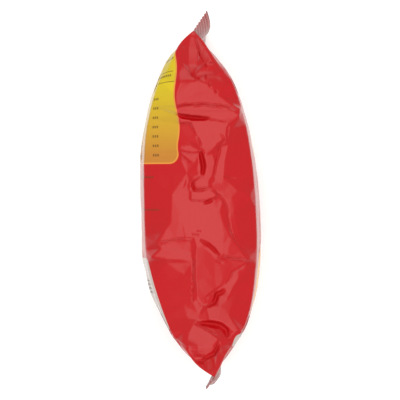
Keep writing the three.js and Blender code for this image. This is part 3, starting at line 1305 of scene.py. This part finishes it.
@dataclass(frozen=True)
class BackPrint:
    """The print of the back: an info panel with rows of specks, notes and two pale panels with bars."""

    lemon: Colour = paint(188, 166, 22)
    orange: Colour = paint(172, 112, 38)
    border: Colour = paint(200, 132, 52)
    ink: Colour = paint(70, 44, 8)
    cream: Colour = paint(226, 216, 192)
    silver: Colour = paint(178, 164, 158)
    panel: PrintBox = PrintBox((-83, 23.4), (-12.4, 103), 6.5)
    border_width: float = 0.9
    wave_height: float = 1.4
    wave_length: float = 41
    wave_crest: float = 88
    wave_start: float = 30
    wave_rise: float = 10
    fade_start: float = 28
    fade_length: float = 45
    rows: PrintBars = PrintBars(29.1, 6.15, 0.8)
    digits: PrintBars = PrintBars(0.85, 1.7, 0.55)
    letters: PrintBars = PrintBars(0.85, 1.7, 0.6)
    tables: tuple[PrintBox, ...] = (
        PrintBox((-31, 26.5), (-25.6, 68.5), 0.1),
        PrintBox((-76, 26.5), (-48, 68.5), 0.1),
    )
    lines: tuple[PrintBox, ...] = (
        PrintBox((-79, 82.9), (-13.8, 83.4), 0.1),
        PrintBox((-79, 76.2), (-13.8, 76.7), 0.1),
        PrintBox((-40, 91.6), (-13.4, 92.8), 0.4),
    )
    head: PrintBox = PrintBox((-34, 79.9), (-15.6, 81.3), 0.4)
    notes: tuple[PrintBox, ...] = (
        PrintBox((-72, 14.2), (-30.5, 15.4), 0.4),
        PrintBox((-72, -6.9), (-27, -5.9), 0.4),
    )
    mark_strength: float = 0.75
    note_strength: float = 0.7
    slant: float = 0.25
    slant_middle: float = -60
    slanted_panel: PrintBox = PrintBox((-78, -86), (-33.5, -38), 3)
    stripes: PrintBars = PrintBars(1.3, 2.6, 0.7)
    striped: PrintBox = PrintBox((-74, -63), (-38.5, -53), 0.2)
    stripe_strength: float = 0.8
    lower_panel: PrintBox = PrintBox((204, -64), (264, 58), 5)
    bars: PrintBars = PrintBars(2, 9, 1.1)
    barred: PrintBox = PrintBox((210, -56), (258, 50), 0.2)
    bar_strength: float = 0.6

    def upper(self, sheet: NodeSheet, across: Signal, along: Signal, ground: Colour) -> Signal:
        """Prints the info panel and its notes, whose edge runs in waves where the film is slack.

        Args:
            sheet: The material's nodes.
            across: Distance around the film, in millimetres.
            along: Distance along the film, in millimetres.
            ground: The colour below.

        Returns:
            The printed colour.
        """
        turn = (along - self.wave_crest) * (2 * math.pi / self.wave_length)
        wave = turn.cosine() * self.wave_height * ((along - self.wave_start) / self.wave_rise).clamped()
        panel = self.panel.distance(across - wave, along)
        fade = ((along - self.fade_start) / self.fade_length).clamped()
        field = sheet.over(self.orange, self.lemon, fade)
        colour = sheet.over(ground, self.border, inside(panel))
        colour = sheet.over(colour, field, inside(panel + self.border_width))
        specks = self.rows.mask(along) * self.digits.mask(across)
        letters = self.letters.mask(across)
        marks = [specks * table.mask(across, along) for table in self.tables]
        marks += [line.mask(across, along) for line in self.lines]
        marks.append(self.head.mask(across, along) * letters)
        colour = sheet.over(colour, self.ink, any_of(marks) * self.mark_strength)
        notes = any_of([note.mask(across, along) for note in self.notes])
        return sheet.over(colour, self.ink, notes * letters * self.note_strength)

    def lower(self, sheet: NodeSheet, across: Signal, along: Signal, ground: Signal) -> Signal:
        """Prints the two pale panels with plain bars.

        Args:
            sheet: The material's nodes.
            across: Distance around the film, in millimetres.
            along: Distance along the film, in millimetres.
            ground: The colour below.

        Returns:
            The printed colour.
        """
        slanted = across + (along - self.slant_middle) * self.slant
        colour = sheet.over(ground, self.silver, self.slanted_panel.mask(slanted, along))
        stripes = self.stripes.mask(along) * self.striped.mask(slanted, along)
        colour = sheet.over(colour, self.ink, stripes * self.stripe_strength)
        colour = sheet.over(colour, self.cream, self.lower_panel.mask(across, along))
        bars = self.bars.mask(along) * self.barred.mask(across, along)
        return sheet.over(colour, self.ink, bars * self.bar_strength)


@dataclass(frozen=True)
class FrontPrint:
    """The print of the front panel: a gold disc with crisps, an empty banner and a plain ribbon."""

    gold: Colour = paint(216, 150, 28)
    crisp: Colour = paint(238, 190, 84)
    crisp_rim: Colour = paint(196, 124, 34)
    cream: Colour = paint(226, 216, 192)
    silver: Colour = paint(178, 164, 158)
    disc_middle: tuple[float, float] = (93, -62)
    disc_radius: float = 51
    crisps: tuple[PrintedCrisp, ...] = (
        PrintedCrisp(76, -66, 0.5),
        PrintedCrisp(98, -50, -0.4),
        PrintedCrisp(112, -72, 1.1),
        PrintedCrisp(92, -78, -0.1),
    )
    rim_width: float = 1.2
    banner: PrintBox = PrintBox((46, 24), (140, 62), 15)
    line_gap: float = 2.5
    line_width: float = 1.2
    ribbon: PrintBox = PrintBox((19.2, -97), (144, -88), 4)

    def over(self, sheet: NodeSheet, across: Signal, along: Signal, ground: Signal) -> Signal:
        """Prints the front panel.

        Args:
            sheet: The material's nodes.
            across: Distance around the film, in millimetres.
            along: Distance along the film, in millimetres.
            ground: The colour below.

        Returns:
            The printed colour.
        """
        middle_across, middle_along = self.disc_middle
        disc = ((across - middle_across) ** 2 + (along - middle_along) ** 2) ** 0.5
        colour = sheet.over(ground, self.gold, inside(disc - self.disc_radius))
        for crisp in self.crisps:
            oval = crisp.distance(across, along)
            colour = sheet.over(colour, self.crisp_rim, inside(oval))
            colour = sheet.over(colour, self.crisp, inside(oval + self.rim_width))
        banner = self.banner.distance(across, along)
        colour = sheet.over(colour, self.cream, inside(banner))
        line = inside(banner + self.line_gap) * inside(-self.line_gap - self.line_width - banner)
        colour = sheet.over(colour, self.gold, line)
        return sheet.over(colour, self.silver, self.ribbon.mask(across, along))


@dataclass(frozen=True)
class FilmFinish:
    """Glossy red film with its print, painted highlight and painted shade on the ribs of its seals, and
    painted shade deepening the red of its tucks.
    """

    red: Colour = paint(168, 6, 13)
    back: BackPrint = BackPrint()
    front: FrontPrint = FrontPrint()
    # Painted shade: a deeper red laid over the film where it folds into a tuck.
    painted_tuck_shade: Colour = paint(166, 0, 5)
    tuck_painted_shade_strength: float = 0.8
    # Painted highlight on the tops of the seal ribs and painted shade in their valleys.
    rib_painted_highlight: Colour = paint(180, 106, 104)
    rib_painted_shade: Colour = paint(112, 8, 18)
    rib_painted_light_strength: float = 0.8
    seal_softness: float = 0.02
    roughness: float = 0.22
    roughness_change: float = 0.08
    tuck_roughness: float = 0.4
    grain_scale: float = 90
    grain_detail: float = 3
    crinkle_scale: float = 420
    crinkle_detail: float = 4
    crinkle_strength: float = 0.05
    crinkle_height: float = 0.6 * MM
    ior: float = 1.5

    def material(self, web: FilmWeb) -> bpy.types.Material:
        """Makes the film's material.

        Args:
            web: The film, for the sizes of its flat web.

        Returns:
            The material, which reads the flat web's map.
        """
        sheet = NodeSheet("printed film")
        flat = sheet.signal("ShaderNodeUVMap", {"uv_map": web.map_name}, {})
        parts = sheet.node("ShaderNodeSeparateXYZ", {}, {0: flat})
        middle_u, middle_v = web.map_middle
        across = (Signal(sheet, parts.outputs[0]) - middle_u) * (web.film_width / MM)
        along = (Signal(sheet, parts.outputs[1]) - middle_v) * (web.film_length / MM)
        colour = self.back.upper(sheet, across, along, self.red)
        colour = self.back.lower(sheet, across, along, colour)
        colour = self.front.over(sheet, across, along, colour)
        # Painted highlight and shade that follow the crimped ribs of the seals.
        colour = self._painted_rib_light(sheet, web, along, colour)
        # Painted shade: the tuck depth darkens the colour towards a deeper red, and roughens the film.
        tuck = sheet.signal("ShaderNodeAttribute", {"attribute_name": web.tuck_name}, {}, "Fac")
        colour = sheet.over(colour, self.painted_tuck_shade, tuck * self.tuck_painted_shade_strength)
        grain = self._noise(sheet, self.grain_scale, self.grain_detail)
        crinkle = self._noise(sheet, self.crinkle_scale, self.crinkle_detail)
        relief = {"Strength": self.crinkle_strength, "Distance": self.crinkle_height, "Height": crinkle}
        roughness = self.roughness + self.roughness_change * (grain - 0.5) + self.tuck_roughness * tuck
        inputs = {
            "Base Color": colour,
            "Roughness": roughness,
            "Normal": sheet.signal("ShaderNodeBump", {}, relief),
            "IOR": self.ior,
        }
        film = sheet.signal("ShaderNodeBsdfPrincipled", {}, inputs)
        sheet.node("ShaderNodeOutputMaterial", {}, {"Surface": film})
        return sheet.material

    def _noise(self, sheet: NodeSheet, scale: float, detail: float) -> Signal:
        """Gives a random pattern that stays in place on the film."""
        place = sheet.signal("ShaderNodeTexCoord", {}, {}, "Object")
        return sheet.signal("ShaderNodeTexNoise", {}, {"Vector": place, "Scale": scale, "Detail": detail})

    def _painted_rib_light(self, sheet: NodeSheet, web: FilmWeb, along: Signal, ground: Signal) -> Signal:
        """Paints highlight on the tops of the crimped ribs and paints shade in their valleys.

        Args:
            sheet: The material's nodes.
            web: The film, for the sizes of its seals.
            along: Distance along the film, in millimetres.
            ground: The colour below.

        Returns:
            The colour with the painted highlight and shade of its ribs.
        """
        shape = web.shape
        above = (along - shape.top.body / MM) / (shape.seal_height / MM)
        below = (-1 * along - shape.bottom.body / MM) / (shape.seal_height / MM)
        share = above.at_least(below)
        pressed = inside(-1 * share, self.seal_softness) * self.rib_painted_light_strength
        # Painted highlight in step with the tops of the ribs, painted shade in the valleys.
        crest_highlight = 0.5 + 0.5 * (share * (2 * math.pi * web.crimp_ribs)).sine()
        colour = sheet.over(ground, self.rib_painted_shade, pressed)
        return sheet.over(colour, self.rib_painted_highlight, crest_highlight * pressed)


# Studio

@dataclass(frozen=True)
class Studio:
    """A pale floor, soft light above and the camera that looks straight down on the bag."""

    image_pixels: float = 400
    focal_pixels: float = 2381
    sensor: float = 36
    camera_height: float = 1.664
    floor_size: float = 3
    floor_colour: tuple[float, float, float, float] = (0.7, 0.7, 0.7, 1)
    floor_glow: float = 0.5
    tent_height: float = 2.0
    tent_width: float = 1.45
    tent_length: float = 5.6
    tent_shift: float = 1.35
    tent_power: float = 24
    fill_power: float = 30
    front_power: float = 6
    front_place: tuple[float, float, float] = (0, -2.6, 1.1)
    light_colour: tuple[float, float, float] = (1, 0.975, 0.93)
    world_light: float = 0.52

    def build(self) -> None:
        """Sets the floor, the light and the camera."""
        self._floor()
        top_light = Vector((0, self.tent_shift, self.tent_height))
        self._hang("tent", self.tent_power, top_light, Vector((0, self.tent_shift, 0)), self.tent_length)
        above = Vector((0, 0, self.tent_height))
        fill = self._hang("fill", self.fill_power, above, Vector(), self.tent_width)
        fill.visible_glossy = False
        self._hang("front", self.front_power, Vector(self.front_place), Vector(), self.tent_width)
        self._world()
        self._camera()
        view = bpy.context.scene.view_settings
        view.view_transform = "Standard"
        view.look = "None"

    def _floor(self) -> None:
        """Lays the floor."""
        bm = bmesh.new()
        bmesh.ops.create_grid(bm, x_segments=2, y_segments=2, size=self.floor_size)
        mesh = bpy.data.meshes.new("floor")
        bm.to_mesh(mesh)
        bm.free()
        floor = bpy.data.objects.new("floor", mesh)
        bpy.context.collection.objects.link(floor)
        sheet = NodeSheet("pale floor")
        inputs = {
            "Base Color": self.floor_colour,
            "Roughness": 1.0,
            "Specular IOR Level": 0.0,
            "Emission Color": self.floor_colour,
            "Emission Strength": self.floor_glow,
        }
        surface = sheet.signal("ShaderNodeBsdfPrincipled", {}, inputs)
        sheet.node("ShaderNodeOutputMaterial", {}, {"Surface": surface})
        mesh.materials.append(sheet.material)

    def _hang(
        self, name: str, power: float, place: Vector, target: Vector, length: float
    ) -> bpy.types.Object:
        """Hangs a large soft light.

        Args:
            name: The light's name.
            power: Its power in watts.
            place: Where it hangs.
            target: The point that it faces.
            length: Its length, along the bag where it hangs above it.

        Returns:
            The light's object.
        """
        light = bpy.data.lights.new(name, "AREA")
        light.shape = "ELLIPSE"
        light.size = self.tent_width
        light.size_y = length
        light.color = self.light_colour
        light.energy = power
        lamp = bpy.data.objects.new(name, light)
        lamp.location = place
        lamp.rotation_euler = (target - place).to_track_quat("-Z", "Y").to_euler()
        bpy.context.collection.objects.link(lamp)
        return lamp

    def _world(self) -> None:
        """Fills the shadows with even light."""
        world = bpy.data.worlds.new("studio")
        world.use_nodes = True
        background = world.node_tree.nodes["Background"]
        background.inputs["Color"].default_value = (1, 1, 1, 1)
        background.inputs["Strength"].default_value = self.world_light
        bpy.context.scene.world = world

    def _camera(self) -> None:
        """Puts the camera above the bag, looking straight down with the top seal up."""
        lens = bpy.data.cameras.new("camera")
        lens.sensor_width = self.sensor
        lens.lens = self.focal_pixels * self.sensor / self.image_pixels
        camera = bpy.data.objects.new("camera", lens)
        camera.location = (0, 0, self.camera_height)
        bpy.context.collection.objects.link(camera)
        bpy.context.scene.camera = camera


def main() -> None:
    """Dresses the frame and reports each piece."""
    logging.basicConfig(level=logging.INFO, format="%(message)s")
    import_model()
    Studio().build()
    web = FilmWeb()
    laid = web.lay()
    film = web.build(laid)
    seam = BackSeam().build(web, laid)
    finish = FilmFinish().material(web)
    for piece in (film, seam):
        piece.data.materials.append(finish)
        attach(piece, "root")
        LOG.info("%s: %d faces", piece.name, len(piece.data.polygons))
    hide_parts("bag")


if __name__ == "__main__":
    main()
